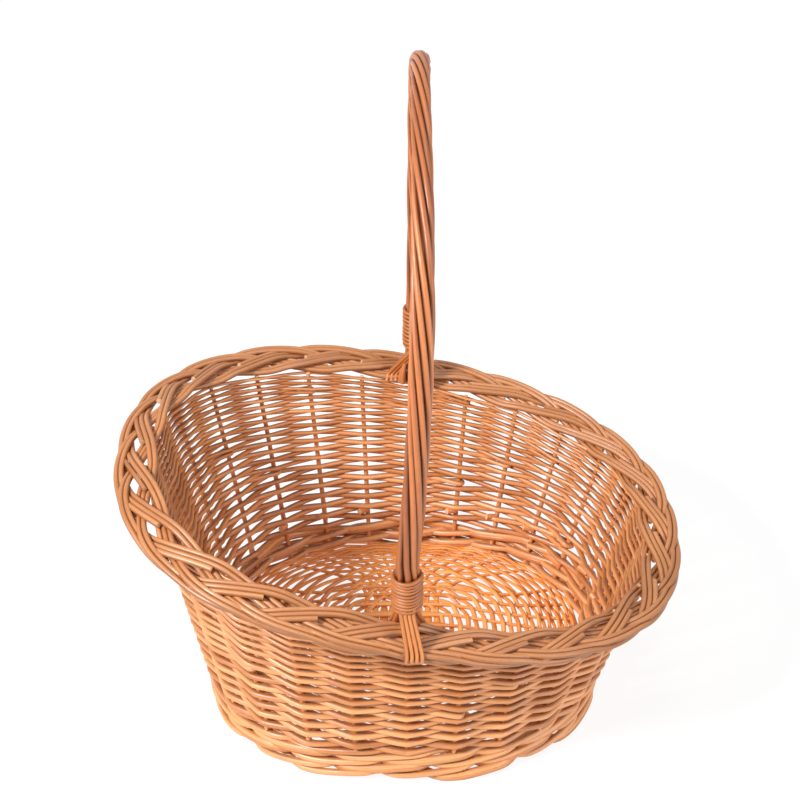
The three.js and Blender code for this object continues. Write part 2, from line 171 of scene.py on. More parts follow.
# Plait
PLAIT_UNITS = 24
PLAIT_STRANDS = 5
PLAIT_ROD_RADIUS = 2.2 * MM
PLAIT_ROD_SPACING = 4.3 * MM
PLAIT_MATES = (-0.5, 0.5)
PLAIT_THIRD_MATE = 1.5
PLAIT_SWING = 12.8 * MM
PLAIT_NARROWING = 0.08
PLAIT_BIAS = 0.2
PLAIT_FLATNESS = 0.02
PLAIT_LIFT = 2.7 * MM
PLAIT_LIFT_SQUARENESS = 1.8
PLAIT_START = 0.0345
PLAIT_TILT = math.radians(13)
PLAIT_TILT_FALL = math.radians(6)
PLAIT_BACK_TILT = math.radians(15)
PLAIT_BACK_DROP = 5 * MM
PLAIT_BACK_FROM = 40 * MM
PLAIT_BACK_TO = 165 * MM
PLAIT_WAVER = 0.3 * MM
PLAIT_WAVES = 40
STEPS_PER_PLAIT_UNIT = 18

# Rods that are in the plait for a part of a swing only; angles in radians, and the cut in quarter turns
CUT_ROD_FROM = 1.35
CUT_ROD_QUARTERS = 1.5
CUT_ROD_QUARTERS_MORE = 0.3
CUT_ROD_THICKNESS = 0.94
CUT_ROD_THICKNESS_MORE = 0.16
CUT_ROD_STEPS = 40
RETURN_ROD_FROM = 3.3
RETURN_ROD_TO = 4.55
RETURN_ROD_THICKNESS = 0.95
RETURN_ROD_STEPS = 30

# Handle
STAKE_FOOT = 3 * MM
HANDLE_TOP = 553 * MM
HANDLE_LEG_TOP = 252 * MM
HANDLE_FRONT_SHIFT = 4.2 * MM
HANDLE_BACK_SHIFT = 12.8 * MM
HANDLE_APEX_SHIFT = 13.5 * MM
HANDLE_LEAN = 1.5
HANDLE_SHOULDER = 160 * MM
HANDLE_CROWN = 124 * MM
LEG_STEPS = 200
CROWN_STEPS = 300
BOW_RADIUS = 4.0 * MM
BOW_TAPER = 0.6
HANDLE_RODS = 8
HANDLE_ROD_RADIUS = 2.4 * MM
HANDLE_ROD_SIDES = 12
HANDLE_ROD_DEPTH = 20 * MM
HANDLE_RING = 6.6 * MM
BUNDLE_RADIUS = 9.6 * MM
HANDLE_TURNS = 2.6
HANDLE_HURRY = 0.35
HANDLE_SLIM = 0.2
HANDLE_SLIM_SPAN = 0.09
HANDLE_TURN_WAVER = 0.025
HANDLE_RING_WAVER = 0.35 * MM
HANDLE_ROD_WAVER = 0.06
HANDLE_STEPS = 260
SPLAY_ASIDE = 13 * MM
SPLAY_INSIDE = 6.5 * MM
SPLAY_DEPTH = 3.5 * MM
PLAIT_TOP = RIM_HEIGHT + 12.3 * MM

# Bindings
BINDING_RADIUS = 1.5 * MM
BINDING_LOOPS = 10
BINDING_PITCH = 3.5 * MM
BINDING_RISE = 13.5 * MM
BINDING_RING = 10.4 * MM
BINDING_SLOPE = 0.9 * MM
BINDING_SLOPE_TURN = 0.8
BINDING_WAVER = 0.25 * MM
BINDING_STEPS_PER_LOOP = 32

# Ties; a rest is a lift over the plait, a way in from its edge and a share of the drift
TIES = 4
TIE_RADIUS = 1.65 * MM
TIE_STEPS = 40
TIE_HELD = np.array([6 * MM, -1 * MM])
TIE_HELD_OUT = np.array([[9.0 * MM], [10.5 * MM]])
TIE_HELD_SPACING = 3.1 * MM
TIE_SPACING = 3.9 * MM
TIE_OUTER_DRIFT = 5 * MM
TIE_INNER_DRIFT = -19.5 * MM
TIE_FRONT_REST = (-1 * MM, 3 * MM, 0.94)
TIE_BACK_REST = (0.8 * MM, 4 * MM, 0.92)
TIE_EDGE_DROP = 1 * MM
TIE_TUCK_DEPTH = 1.1
TIE_TUCK_IN = 4 * MM
TIE_INNER_OUT = 0.6
TIE_INNER_LIFT = 0.35

# Stage and camera
STAGE_HALF = 12.0
STAGE_GAP = 0.3 * MM
STAGE_GREY = 0.9
STAGE_GLOW = 1.1
STAGE_GLOW_LIT = 0.55
STAGE_GLOW_SEEN = 0.8
WORLD_LIGHT = 0.23
CAMERA_SENSOR = 36.0
CAMERA_FOCAL_PIXELS = 2402
PHOTO_PIXELS = 800
CAMERA_TARGET = np.array([-1.4 * MM, 0.0, 267 * MM])
CAMERA_ELEVATION = math.radians(35.9)
CAMERA_DISTANCE = 1879 * MM

UP = np.array([0.0, 0.0, 1.0])
RIGHT = np.array([1.0, 0.0, 0.0])
chance = np.random.default_rng(41)


# Shapes shared by the pieces

def oblong(length, width, squareness, angle):
    """Rounded oblong: half sides times cosine and sine, each raised to 2 / squareness, sign kept."""
    power = 2.0 / squareness
    cosine = np.cos(angle)
    sine = np.sin(angle)
    x = length / 2 * np.sign(cosine) * np.abs(cosine) ** power
    y = width / 2 * np.sign(sine) * np.abs(sine) ** power
    return np.stack([x, y], axis=-1)


def run_along(points):
    """Distance along a line of points: 0, then the sum of the steps so far."""
    return np.concatenate([[0.0], np.cumsum(np.linalg.norm(np.diff(points, axis=0), axis=1))])


OUTLINE_ANGLES = np.linspace(-np.pi / 2, 1.5 * np.pi, OUTLINE_SAMPLES + 1)
OUTLINE_RUN = run_along(oblong(MOUTH_LENGTH, MOUTH_WIDTH, MOUTH_SQUARENESS, OUTLINE_ANGLES))
OUTLINE_LENGTH = OUTLINE_RUN[-1]


def angle_at(share):
    """Angle at a share of the way round, even on both sides of the handle's legs at 0 and 0.5."""
    turn = np.mod(share, 1.0)
    front = HANDLE_FRONT_SHIFT
    back = OUTLINE_LENGTH / 2 - HANDLE_BACK_SHIFT
    low_side = front + (back - front) * 2 * turn
    tall_side = back + (front + OUTLINE_LENGTH - back) * (2 * turn - 1)
    run = np.mod(np.where(turn < 0.5, low_side, tall_side), OUTLINE_LENGTH)
    return np.interp(run, OUTLINE_RUN, OUTLINE_ANGLES)


def rim_height(x):
    """Height of the plait's middle: a straight fall along X with a slight dip at both ends."""
    end = x / (MOUTH_LENGTH / 2)
    return RIM_HEIGHT - RIM_FALL / 2 * end - RIM_END_DIP * end ** 2


def wall_point(share, rise):
    """Middle of the wall: straight from the base outline (rise 0) to the outline under the plait (1)."""
    angle = angle_at(share)
    low = oblong(BASE_LENGTH - 2 * FOOT_HALF, BASE_WIDTH - 2 * FOOT_HALF, BASE_SQUARENESS, angle)
    inset = 2 * PLAIT_OVERHANG
    high = oblong(MOUTH_LENGTH - inset, MOUTH_WIDTH - inset, MOUTH_SQUARENESS, angle)
    low = np.concatenate([low, np.zeros_like(low[..., :1])], axis=-1)
    high = np.concatenate([high, rim_height(high[..., :1]) - WALL_TOP_DROP], axis=-1)
    return low + (high - low) * np.broadcast_to(rise, low.shape[:-1])[..., None]


def unit(vectors):
    """Vectors divided by their lengths."""
    return vectors / np.linalg.norm(vectors, axis=-1, keepdims=True)


def wall_along(share, rise):
    """Direction along the wall, from two points a small share apart."""
    step = 1 / 1440
    return unit(wall_point(share + step, rise) - wall_point(share - step, rise))


def wall_out(share, rise):
    """Outward normal of the wall: along crossed with upward."""
    upward = wall_point(share, 1.0) - wall_point(share, 0.0)
    return unit(np.cross(wall_along(share, rise), upward))


def beside_wall(share, rise, outward):
    """Point of the wall's middle moved outward."""
    return wall_point(share, rise) + wall_out(share, rise) * np.asarray(outward)[..., None]


def rise_of_height(share, height):
    """Rise at which the wall is this high."""
    return height / wall_point(share, 1.0)[..., 2]


def smooth(value, low, high):
    """Smooth step from 0 at low to 1 at high: 3 t squared minus 2 t cubed."""
    t = np.clip((value - low) / (high - low), 0.0, 1.0)
    return t * t * (3 - 2 * t)


def zigzag(phase, kink):
    """Triangle wave with rounded corners: 1 at even phases, -1 at odd ones."""
    return np.arcsin(kink * np.cos(np.pi * phase)) / np.arcsin(kink)


def waver(place, size, count=4):
    """Slow irregular wave along a rod: a few sines of seeded phase, repeating when place goes 0 to 1."""
    usual_peak = 1.6
    total = np.zeros_like(place)
    for wave in range(1, count + 1):
        total = total + np.sin(2 * np.pi * (wave * 2 * place + chance.random())) / wave
    return size * total / usual_peak


# Building meshes from rods

# A stacked rod has its neighbours along its guide, so its painted shade, on the sides that face them, lies a
# quarter turn further round
STACKED = 0.25
# A cut end bulges by a share of the radius, and its grain is a small round of the UV
CUT_BULGE = 0.12
CUT_GRAIN_RUN = 0.5 * MM
CUT_GRAIN_TURN = 0.1


class Bundle:
    """Collects swept rods and makes one mesh with a UV along each rod, a tint for each rod and cut ends."""

    def __init__(self):
        self.points = []
        self.quads = []
        self.quad_uv = []
        self.fans = []
        self.fan_uv = []
        self.tints = []
        self.cuts = []
        self.count = 0

    def keep(self, points, tint, cut):
        """Stores points and returns the number of the first one."""
        start = self.count
        self.points.append(points)
        self.tints.append(np.full(len(points), tint))
        self.cuts.append(np.full(len(points), cut))
        self.count += len(points)
        return start

    def rod(self, path, radius, guide, sides=10, closed=False, cuts=(1.0, 1.0), seam=0.0, flat=1.0):
        """Section along a path: centre + radius * (cos a * across + flat * sin a * over) for a all round.

        The V of the UV is a share of the turn plus the seam: 0 and 0.5 face the rods beside this one.
        """
        path = np.asarray(path, dtype=float)
        rings = len(path)
        radius = np.broadcast_to(np.asarray(radius, dtype=float), (rings,))
        if closed:
            tangent = unit(np.roll(path, -1, axis=0) - np.roll(path, 1, axis=0))
        else:
            tangent = unit(np.gradient(path, axis=0))
        across = unit(np.cross(np.broadcast_to(guide, path.shape), tangent))
        over = np.cross(tangent, across)
        turn = (2 * np.pi * np.arange(sides) / sides)[None, :, None]
        spoke = across[:, None] * np.cos(turn) + over[:, None] * flat * np.sin(turn)
        ring = path[:, None] + spoke * radius[:, None, None]
        tint = chance.random()
        start = self.keep(ring.reshape(-1, 3), tint, 0.0)
        run = run_along(path)
        if closed:
            run = np.append(run, run[-1] + np.linalg.norm(path[0] - path[-1]))
        self.skin(start, rings, run, sides, seam)
        if not closed:
            for end, way, cut in ((0, -1, cuts[0]), (rings - 1, 1, cuts[1])):
                middle = path[end] + way * tangent[end] * radius[end] * CUT_BULGE
                self.end(ring[end], middle, way, tint, cut, run[end])

    def skin(self, start, rings, run, sides, seam):
        """Quads from each section to the next, with U the run along the rod and V the share of the turn."""
        shape = (len(run) - 1, sides)
        i = np.arange(shape[0])[:, None]
        j = np.arange(sides)[None, :]
        ahead = (i + 1) % rings
        beside = (j + 1) % sides
        corners = [i * sides + j, ahead * sides + j, ahead * sides + beside, i * sides + beside]
        self.quads.append(np.stack(corners, axis=-1).reshape(-1, 4)[:, ::-1] + start)
        u0 = np.broadcast_to(run[:-1, None], shape)
        u1 = np.broadcast_to(run[1:, None], shape)
        v0 = np.broadcast_to(j / sides + seam, shape)
        v1 = v0 + 1 / sides
        uv = np.stack([np.stack([u0, v0], -1), np.stack([u1, v0], -1),
                       np.stack([u1, v1], -1), np.stack([u0, v1], -1)], axis=2)
        self.quad_uv.append(uv.reshape(-1, 4, 2)[:, ::-1])

    def end(self, edge, middle, way, tint, cut, run):
        """Closes a rod's end with a slightly bulging fan of triangles about its middle."""
        sides = len(edge)
        start = self.keep(np.concatenate([edge, middle[None]]), tint, cut)
        j = np.arange(sides)
        fan = np.stack([j, (j + 1) % sides, np.full(sides, sides)], axis=-1)
        turn = 2 * np.pi * j / sides
        along = run + CUT_GRAIN_RUN * np.cos(turn)
        ring_uv = np.stack([along, STACKED + CUT_GRAIN_TURN * np.sin(turn)], axis=-1)
        uv = np.concatenate([ring_uv, [[run, STACKED]]])[fan]
        if way > 0:
            fan = fan[:, ::-1]
            uv = uv[:, ::-1]
        self.fans.append(fan[:, ::-1] + start)
        self.fan_uv.append(uv[:, ::-1])

    def mesh(self, name, material, slot, nodes):
        """Makes the object, gives it its material and hides the solids it stands for."""
        points = np.concatenate(self.points)
        quads = np.concatenate(self.quads)
        quad_uv = np.concatenate(self.quad_uv)
        fans = np.concatenate(self.fans) if self.fans else np.zeros((0, 3), int)
        fan_uv = np.concatenate(self.fan_uv) if self.fan_uv else np.zeros((0, 3, 2))
        mesh = bpy.data.meshes.new(name)
        mesh.vertices.add(len(points))
        mesh.vertices.foreach_set("co", points.ravel())
        corners = np.concatenate([quads.ravel(), fans.ravel()])
        sizes = np.concatenate([np.full(len(quads), 4), np.full(len(fans), 3)])
        mesh.loops.add(len(corners))
        mesh.loops.foreach_set("vertex_index", corners.astype(np.int32))
        mesh.polygons.add(len(sizes))
        starts = np.concatenate([[0], np.cumsum(sizes)[:-1]])
        mesh.polygons.foreach_set("loop_start", starts.astype(np.int32))
        mesh.polygons.foreach_set("loop_total", sizes.astype(np.int32))
        mesh.polygons.foreach_set("use_smooth", sizes == 4)
        uv = mesh.uv_layers.new(name="rod")
        uv.data.foreach_set("uv", np.concatenate([quad_uv.ravel(), fan_uv.ravel()]).astype(np.float32))
        for label, values in (("tint", self.tints), ("cut", self.cuts)):
            layer = mesh.attributes.new(label, "FLOAT", "POINT")
            layer.data.foreach_set("value", np.concatenate(values).astype(np.float32))
        mesh.update(calc_edges=True)
        mesh.validate()
        piece = bpy.data.objects.new(name, mesh)
        bpy.context.scene.collection.objects.link(piece)
        mesh.materials.append(material)
        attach(piece, "root")
        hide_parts(*nodes)


# Materials

SPECK_BROWN = (0.20, 0.085, 0.03, 1.0)
# Painted shade: the brown that the sides of rods next to other rods are darkened towards, in place of the
# shade between them
PAINTED_CREVICE_SHADE = (0.15, 0.05, 0.014, 1.0)
CUT_PALE = (0.86, 0.66, 0.44, 1.0)


def link(tree, start, end):
    """Joins two sockets."""
    tree.links.new(start, end)


def maths(tree, kind, first, second):
    """Math node of two values or sockets; returns its output."""
    node = tree.nodes.new("ShaderNodeMath")
    node.operation = kind
    for socket, value in zip(node.inputs, (first, second)):
        if isinstance(value, (int, float)):
            socket.default_value = value
        else:
            link(tree, value, socket)
    return node.outputs[0]


def noise(tree, vector, detail, roughness):
    """Noise of scale 1 at a vector socket; returns its value."""
    node = tree.nodes.new("ShaderNodeTexNoise")
    node.inputs["Scale"].default_value = 1.0
    node.inputs["Detail"].default_value = detail
    node.inputs["Roughness"].default_value = roughness
    link(tree, vector, node.inputs["Vector"])
    return node.outputs[0]


def spread(tree, value, low, high, start=0.0, end=1.0):
    """Maps low..high to start..end, held at both ends."""
    node = tree.nodes.new("ShaderNodeMapRange")
    node.inputs["From Min"].default_value = low
    node.inputs["From Max"].default_value = high
    node.inputs["To Min"].default_value = start
    node.inputs["To Max"].default_value = end
    link(tree, value, node.inputs["Value"])
    return node.outputs[0]


def blend(tree, amount, first, second):
    """Colour mix by a socket's amount; a colour may be a socket or four numbers."""
    node = tree.nodes.new("ShaderNodeMix")
    node.data_type = "RGBA"
    link(tree, amount, node.inputs[0])
    for place, value in ((6, first), (7, second)):
        if isinstance(value, tuple):
            node.inputs[place].default_value = value
        else:
            link(tree, value, node.inputs[place])
    return node.outputs[2]


def about_zero(tree, value, size):
    """Value less a half, times a size."""
    return maths(tree, "MULTIPLY", maths(tree, "SUBTRACT", value, 0.5), size)


def attribute(tree, label):
    """Value of a point attribute of the mesh."""
    node = tree.nodes.new("ShaderNodeAttribute")
    node.attribute_name = label
    return node.outputs["Fac"]


def willow_sockets(face):
    """Inputs and outputs of the willow group."""
    for label in ("Pale", "Deep"):
        face.new_socket(label, in_out="INPUT", socket_type="NodeSocketColor")
    for label in ("Spread", "Specks", "PaintedShade"):
        face.new_socket(label, in_out="INPUT", socket_type="NodeSocketFloat")
    face.new_socket("Color", in_out="OUTPUT", socket_type="NodeSocketColor")
    face.new_socket("Roughness", in_out="OUTPUT", socket_type="NodeSocketFloat")
    face.new_socket("Height", in_out="OUTPUT", socket_type="NodeSocketFloat")


def willow_group():
    """Peeled willow: tone by rod, slow patches, fibres, specks, painted shade on the sides next to other
    rods, pale cuts.
    """
    tree = bpy.data.node_groups.new("willow", "ShaderNodeTree")
    willow_sockets(tree.interface)
    given = tree.nodes.new("NodeGroupInput").outputs
    result = tree.nodes.new("NodeGroupOutput").inputs
    uv = tree.nodes.new("ShaderNodeUVMap")
    uv.uv_map = "rod"
    parts = tree.nodes.new("ShaderNodeSeparateXYZ")
    link(tree, uv.outputs[0], parts.inputs[0])
    tint = attribute(tree, "tint")
    turn = maths(tree, "MULTIPLY", parts.outputs[1], 2 * math.pi)
    cosine = maths(tree, "COSINE", turn, 0.0)
    sine = maths(tree, "SINE", turn, 0.0)
    shift = maths(tree, "MULTIPLY", tint, 97.0)

    def along(rate, round_rate):
        """Vector for noise: the run along the rod times a rate, and the turn round it on a circle."""
        node = tree.nodes.new("ShaderNodeCombineXYZ")
        run = maths(tree, "MULTIPLY", parts.outputs[0], rate)
        link(tree, maths(tree, "ADD", run, shift), node.inputs[0])
        link(tree, maths(tree, "MULTIPLY", cosine, round_rate), node.inputs[1])
        link(tree, maths(tree, "MULTIPLY", sine, round_rate), node.inputs[2])
        return node.outputs[0]

    patch = noise(tree, along(16.0, 0.5), 2.0, 0.5)
    fibre = noise(tree, along(85.0, 3.4), 3.0, 0.6)
    speck = noise(tree, along(310.0, 2.6), 1.0, 0.5)
    scar = noise(tree, along(34.0, 0.9), 1.0, 0.4)
    by_rod = about_zero(tree, tint, given["Spread"])
    by_patch = about_zero(tree, patch, 1.1)
    by_fibre = about_zero(tree, fibre, 0.75)
    tone = maths(tree, "ADD", maths(tree, "ADD", by_rod, by_patch), maths(tree, "ADD", by_fibre, 0.52))
    colour = blend(tree, spread(tree, tone, 0.0, 1.0), given["Deep"], given["Pale"])
    spots = maths(tree, "MULTIPLY", spread(tree, speck, 0.66, 0.74), given["Specks"])
    scars = maths(tree, "MULTIPLY", spread(tree, scar, 0.69, 0.76), given["Specks"])
    dark = maths(tree, "MAXIMUM", spots, scars)
    colour = blend(tree, dark, colour, SPECK_BROWN)
    # Painted shade: each rod is darkened on the two sides that face its neighbours (V 0 and 0.5), standing
    # in for the shade between rods
    side = maths(tree, "POWER", maths(tree, "ABSOLUTE", cosine, 0.0), 3.0)
    colour = blend(tree, maths(tree, "MULTIPLY", side, given["PaintedShade"]), colour, PAINTED_CREVICE_SHADE)
    cut = spread(tree, attribute(tree, "cut"), 0.4, 0.6, 0.0, 0.9)
    link(tree, blend(tree, cut, colour, CUT_PALE), result["Color"])
    link(tree, spread(tree, fibre, 0.3, 0.7, 0.34, 0.5), result["Roughness"])
    link(tree, maths(tree, "SUBTRACT", fibre, maths(tree, "MULTIPLY", dark, 0.4)), result["Height"])
    return tree


WILLOW = willow_group()


def willow(name, pale, deep, rod_spread, specks, painted_shade):
    """Willow material of one slot: the shared willow look with its own tones."""
    material = bpy.data.materials.new(name)
    material.use_nodes = True
    tree = material.node_tree
    shader = tree.nodes["Principled BSDF"]
    look = tree.nodes.new("ShaderNodeGroup")
    look.node_tree = WILLOW
    look.inputs["Pale"].default_value = pale
    look.inputs["Deep"].default_value = deep
    look.inputs["Spread"].default_value = rod_spread
    look.inputs["Specks"].default_value = specks
    look.inputs["PaintedShade"].default_value = painted_shade
    bump = tree.nodes.new("ShaderNodeBump")
    bump.inputs["Strength"].default_value = 0.25
    bump.inputs["Distance"].default_value = 0.4 * MM
    link(tree, look.outputs["Height"], bump.inputs["Height"])
    link(tree, look.outputs["Color"], shader.inputs["Base Color"])
    link(tree, look.outputs["Roughness"], shader.inputs["Roughness"])
    link(tree, bump.outputs["Normal"], shader.inputs["Normal"])
    shader.inputs["Specular IOR Level"].default_value = 0.8
    return material


# Pale and deep tone, then how much the rods differ, how many specks show and how dark the painted shade is
# on the sides next to other rods
# Painted light: the stakes' deep tone, shared by the bow, is paler than the weave's to offset the shade the
# stakes sit in between the rows
STAKE_LOOK = willow("stake_willow", (0.88, 0.385, 0.15, 1), (0.62, 0.215, 0.06, 1), 0.5, 0.3, 0.0)
WEAVE_LOOK = willow("weave_willow", (0.89, 0.40, 0.152, 1), (0.53, 0.178, 0.043, 1), 0.9, 0.3, 0.5)
# Painted light: the floor's tones are brighter and more orange than the weave's, standing in for the glow
# that comes up through its gaps from the white ground
FLOOR_LOOK = willow("floor_willow", (1.0, 0.43, 0.115, 1), (0.74, 0.228, 0.038, 1), 0.8, 0.3, 0.2)
PLAIT_LOOK = willow("plait_willow", (0.70, 0.305, 0.118, 1), (0.42, 0.138, 0.034, 1), 0.8, 0.45, 0.5)
HANDLE_LOOK = willow("handle_willow", (0.67, 0.206, 0.05, 1), (0.375, 0.089, 0.015, 1), 0.8, 0.5, 0.75)
BINDING_LOOK = willow("binding_willow", (0.73, 0.26, 0.061, 1), (0.456, 0.123, 0.0196, 1), 0.6, 0.4, 0.65)


# Side weave

SPARE_STAKES = dict(SHORT_PAIRS)
PAIR_ENDS = {first + half: spare for first, spare in SHORT_PAIRS for half in (0, 1)}


def from_low_end(place):
    """Distance from the low end in stake spacings, 0 at the low end and half the stakes at the tall one."""
    low_end = STAKE_PLACES / 4
    return np.abs(np.mod(place - low_end + STAKE_PLACES / 2, STAKE_PLACES) - STAKE_PLACES / 2)


def row_weights(place):
    """Height each row takes at a place: less towards the rim, and nothing for a short row past its turn."""
    rows = np.arange(ROWS)
    weight = ROW_LOW_SHARE + (ROW_HIGH_SHARE - ROW_LOW_SHARE) * rows / (ROWS - 1)
    weight = np.repeat(weight[:, None], len(place), axis=1)
    gap = from_low_end(place)
    for row, spare in PAIR_ENDS.items():
        weight[row] *= smooth(gap, spare - PAIR_FADE_BEFORE, spare + PAIR_FADE_AFTER)
    return weight


def plait_lean(x, y):
    """Tilt of the plait, less at the low end and at the back, and how far it sags at the back."""
    back = smooth(y, PLAIT_BACK_FROM, PLAIT_BACK_TO)
    tilt = PLAIT_TILT - PLAIT_TILT_FALL * x / (MOUTH_LENGTH / 2) - PLAIT_BACK_TILT * back
    return tilt, PLAIT_BACK_DROP * back


def wall_top_rise(share):
    """Rise at which the top row lies against the underside of the plait."""
    top = wall_point(share, 1.0)
    tilt, sag = plait_lean(top[..., 0], top[..., 1])
    tuck = ROW_TOP_TUCK + ROW_FRONT_TUCK * (1 - smooth(top[..., 1], ROW_FRONT_TUCK_Y, 0.0))
    drop = sag + PLAIT_LIFT + PLAIT_ROD_RADIUS + ROW_RADIUS_HIGH - tuck - PLAIT_OVERHANG * np.sin(tilt)
    return (top[..., 2] + WALL_TOP_DROP - drop) / top[..., 2]


def row_rise(row, place):
    """Rise of a row: the middle of its own part of the height above the foot wale."""
    weight = row_weights(place)
    total = weight.sum(axis=0)
    part = (weight[:row].sum(axis=0) + weight[row] / 2) / total
    share = place / STAKE_PLACES
    low = rise_of_height(share, ROW_START)
    return low + (wall_top_rise(share) - low) * part


def row_radius(row):
    """Rods get thinner towards the rim."""
    return ROW_RADIUS_LOW + (ROW_RADIUS_HIGH - ROW_RADIUS_LOW) * row / (ROWS - 1)


def row_swing(row):
    """Distance of a row from the wall's middle at a stake: its own radius and most of the stake's."""
    return row_radius(row) + ROW_STAKE_SHARE * STAKE_RADIUS


def row_path(row, place):
    """Row of the weave: outside one stake and inside the next, straight between them with rounded kinks."""
    outward = row_swing(row) * zigzag(place + row, ROW_KINK)
    return beside_wall(place / STAKE_PLACES, row_rise(row, place), outward)


def front_more(path):
    """Thickness of rods as a share of the usual one: fuller at the front of the wall."""
    return 1 + ROW_FRONT_MORE * (1 - smooth(path[:, 1], ROW_FRONT_FULL_Y, ROW_FRONT_NONE_Y))


def turn_path(row, stake, way):
    """Half circle round a stake that joins a row to the next one: out = cos, along = sin."""
    swing = np.linspace(0.0, np.pi, PAIR_TURN_STEPS)[1:-1]
    side = np.cos(np.pi * (stake + row))
    spacing = OUTLINE_LENGTH / STAKE_PLACES
    place = np.full_like(swing, stake)
    lower = row_rise(row, place)
    upper = row_rise(row + 1, place)
    rise = lower + (upper - lower) * swing / np.pi
    reach = row_swing(row)
    place = stake + way * reach / spacing * np.sin(swing)
    return beside_wall(place / STAKE_PLACES, rise, reach * side * np.cos(swing))


def pair_path(row, spare):
    """Short pair: a row there, a turn round the last stake, the next row back and a turn round the first."""
    first = STAKE_PLACES // 4 + 1 + spare
    last = STAKE_PLACES + STAKE_PLACES // 4 - spare
    place = np.linspace(first, last, (last - first) * STEPS_PER_STAKE + 1)
    return np.concatenate([row_path(row, place), turn_path(row, last, 1),
                           row_path(row + 1, place[::-1]), turn_path(row, first, -1)[::-1]])


def build_side_weave():
    """One piece for each band of the solids: its full rows, and each short pair as one closed rod."""
    bundles = [Bundle() for _ in range(BANDS)]
    place = np.arange(STAKE_PLACES * STEPS_PER_STAKE) / STEPS_PER_STAKE
    for row in range(ROWS):
        bundle = bundles[row * BANDS // ROWS]
        radius = row_radius(row)
        if row not in PAIR_ENDS:
            path = row_path(row, place)
            path[:, 2] += waver(place / STAKE_PLACES, ROW_WAVER)
            thickness = radius * (front_more(path) + waver(place / STAKE_PLACES, ROW_THICKNESS_WAVER))
            bundle.rod(path, thickness, UP, closed=True, seam=STACKED)
        elif row in SPARE_STAKES:
            path = pair_path(row, SPARE_STAKES[row])
            bundle.rod(path, radius * front_more(path), UP, closed=True, seam=STACKED)
    for band, bundle in enumerate(bundles):
        name = f"side_weave_{band + 1:02d}"
        bundle.mesh("look_" + name, WEAVE_LOOK, "weave_willow", [name])


# Stakes

def add_stake(bundle, share):
    """Stake: up the middle of the wall from above the wale, with a thinner foot inside the wale."""
    along = wall_along(share, 0.5)
    low = rise_of_height(np.array([share]), STAKE_BUTT_HEIGHT)[0]
    rise = np.linspace(low, wall_top_rise(np.array([share]))[0], STAKE_STEPS)
    path = beside_wall(np.full_like(rise, share), rise, np.full_like(rise, STAKE_OUT))
    bundle.rod(path, STAKE_RADIUS * np.linspace(1.0, STAKE_TAPER, STAKE_STEPS), along)
    rise = np.linspace(STAKE_FOOT_FROM, low * STAKE_FOOT_TO, STAKE_FOOT_STEPS)
    path = beside_wall(np.full_like(rise, share), rise, np.zeros_like(rise))
    bundle.rod(path, STAKE_RADIUS * STAKE_FOOT_THICKNESS, along)


def add_butt(bundle, share):
    """Butt: a short cut rod beside a stake that comes out at the inside of the wall."""
    part = np.array([0.0, 0.5, 1.0])
    place = share + BUTT_RUN * part / OUTLINE_LENGTH
    rise = rise_of_height(place, BUTT_HEIGHT + BUTT_CLIMB * part)
    path = beside_wall(place, rise, -BUTT_START - (BUTT_END - BUTT_START) * part)
    bundle.rod(path, BUTT_RADIUS, UP, cuts=(0.0, 0.5))


def add_peg(bundle, share):
    """Peg: a tapered tip at a stake that shows below the lowest row, outside the wall."""
    steps = len(PEG_TAPER)
    place = np.full(steps, share)
    rise = rise_of_height(place, np.linspace(PEG_TOP, PEG_TIP, steps))
    path = beside_wall(place, rise, np.linspace(PEG_TOP_OUT, PEG_TIP_OUT, steps))
    bundle.rod(path, PEG_RADIUS * PEG_TAPER, wall_along(share, 0.5), cuts=(0.0, 0.0))


def build_stakes():
    """A stake, a butt and a peg at every place but the two of the handle's legs."""
    bundle = Bundle()
    for stake in range(STAKE_PLACES):
        if stake not in (0, STAKE_PLACES // 2):
            share = stake / STAKE_PLACES
            add_stake(bundle, share)
            add_butt(bundle, share)
            add_peg(bundle, share)
    names = [f"side_stake_{i:02d}" for i in range(1, STAKE_PLACES - 1)]
    bundle.mesh("look_side_stakes", STAKE_LOOK, "stake_willow", names)


# Foot wale

def build_wale():
    """Foot wale: three rods wound up together, each outside two stakes and inside the third."""
    bundle = Bundle()
    stakes = STAKE_PLACES * WALE_ROUNDS
    place = np.linspace(0.0, stakes, stakes * WALE_STEPS_PER_STAKE + 1)
    up = place / stakes
    climb = WALE_TOP - 2 * WALE_RADIUS - 2 * WALE_SLANT
    for order in range(WALE_RODS):
        begin = WALE_RODS * round((STAKE_PLACES / WALE_RODS - 1) * order / WALE_RODS)
        angle = 2 * np.pi * ((place + begin) / WALE_RODS + 0.5)
        share = (place + order + begin) / STAKE_PLACES
        swing = np.tanh(WALE_SQUARENESS * (np.cos(angle) + WALE_OUTSIDE_BIAS))
        flare = WALE_FLARE * smooth(wall_point(share, 0.0)[:, 0], WALE_FLARE_NONE_X, WALE_FLARE_FULL_X)
        outward = (WALE_SWING - WALE_DRAW * up) * swing + flare * (1 - up) ** 2
        height = WALE_RADIUS + WALE_SLANT + climb * up + WALE_SLANT * np.sin(angle)
        path = beside_wall(share, rise_of_height(share, height), outward)
        path[:, 2] = np.maximum(path[:, 2], WALE_RADIUS)
        bundle.rod(path, WALE_RADIUS * (1 + waver(up, WALE_WAVER, WALE_WAVES)), UP, seam=STACKED)
    bundle.mesh("look_foot_wale", WEAVE_LOOK, "weave_willow", ["foot_wale_outer", "foot_wale_inner"])


# Floor

def floor_height(reach):
    """Height of the floor's middle: highest in the centre, falling with the square of the reach."""
    return FLOOR_EDGE_LEVEL + FLOOR_CROWN * (1 - reach ** 2)


